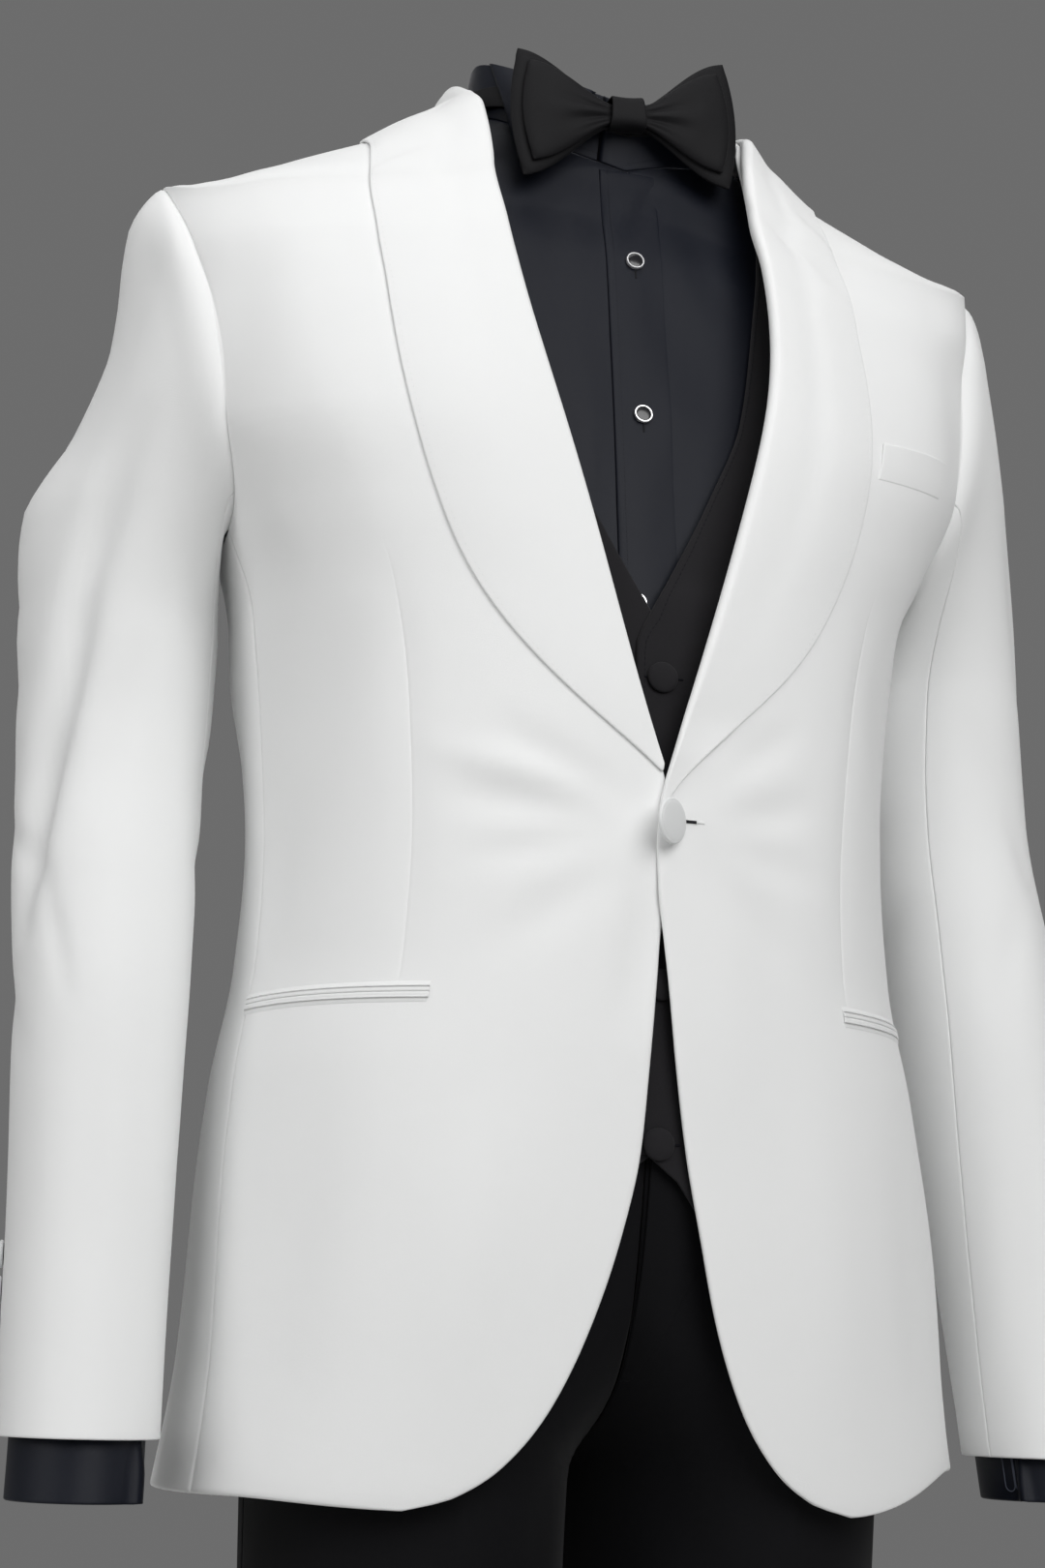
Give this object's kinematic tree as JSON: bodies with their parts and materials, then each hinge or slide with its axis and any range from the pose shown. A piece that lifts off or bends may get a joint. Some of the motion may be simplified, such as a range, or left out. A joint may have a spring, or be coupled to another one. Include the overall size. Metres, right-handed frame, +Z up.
{
  "type": "tuxedo",
  "caption": "Worn evening suit of hollow cloth: white shawl-collar dinner jacket, black waistcoat, dark wing-collar shirt, bow tie and black trousers.",
  "frame": {"origin": "the middle of the wearer's neck, level with the inner ends of the jacket's shoulder seams, where the suit is held up", "axes": "+Z up, front of the suit towards -Y, the wearer's left at +X"},
  "size_m": [0.5935, 0.3081, 1.5593],
  "materials": {
    "white_wool": "off-white worsted wool, fine matte weave, lightly pressed",
    "white_covered_button": "button covered in the same off-white wool",
    "black_covered_button": "button covered in black barathea",
    "black_barathea": "matte black wool with a fine pebbled weave",
    "navy_sateen": "smooth navy-black cotton sateen with a soft sheen",
    "stud_onyx": "glossy black dress stud in a thin silver rim",
    "charcoal_grosgrain": "charcoal-black ribbed silk, matte with a dull sheen",
    "black_wool": "black worsted wool, matte, softly creased"
  },
  "bodies": {
    "root": {"bow_back_layer": "charcoal_grosgrain", "bow_front_layer": "charcoal_grosgrain", "bow_knot": "charcoal_grosgrain", "bow_strap": "charcoal_grosgrain", "breast_welt": "white_wool", "hip_welt_lower_left": "white_wool", "hip_welt_lower_right": "white_wool", "hip_welt_upper_left": "white_wool", "hip_welt_upper_right": "white_wool", "jacket_back_left": "white_wool", "jacket_back_right": "white_wool", "jacket_button": "white_covered_button", "jacket_front_left": "white_wool", "jacket_front_right": "white_wool", "jacket_side_left": "white_wool", "jacket_side_right": "white_wool", "jacket_topsleeve_left": "white_wool", "jacket_topsleeve_right": "white_wool", "jacket_undersleeve_left": "white_wool", "jacket_undersleeve_right": "white_wool", "shawl_collar_left": "white_wool", "shawl_collar_right": "white_wool", "shirt_back": "navy_sateen", "shirt_collar_band": "navy_sateen", "shirt_cuff_left": "navy_sateen", "shirt_cuff_right": "navy_sateen", "shirt_front_left": "navy_sateen", "shirt_front_right": "navy_sateen", "shirt_placket": "navy_sateen", "shirt_sleeve_left": "navy_sateen", "shirt_sleeve_right": "navy_sateen", "shirt_wing_left": "navy_sateen", "shirt_wing_right": "navy_sateen", "sleeve_button_left_1": "white_covered_button", "sleeve_button_left_2": "white_covered_button", "sleeve_button_left_3": "white_covered_button", "sleeve_button_left_4": "white_covered_button", "sleeve_button_right_1": "white_covered_button", "sleeve_button_right_2": "white_covered_button", "sleeve_button_right_3": "white_covered_button", "sleeve_button_right_4": "white_covered_button", "stud_1": "stud_onyx", "stud_2": "stud_onyx", "stud_3": "stud_onyx", "trouser_back_left": "black_wool", "trouser_back_right": "black_wool", "trouser_fly": "black_wool", "trouser_front_left": "black_wool", "trouser_front_right": "black_wool", "trouser_waistband": "black_wool", "under_collar": "white_wool", "waistcoat_back": "black_barathea", "waistcoat_button_1": "black_covered_button", "waistcoat_button_2": "black_covered_button", "waistcoat_button_3": "black_covered_button", "waistcoat_button_4": "black_covered_button", "waistcoat_front_left": "black_barathea", "waistcoat_front_right": "black_barathea"}
  },
  "joints": []
}
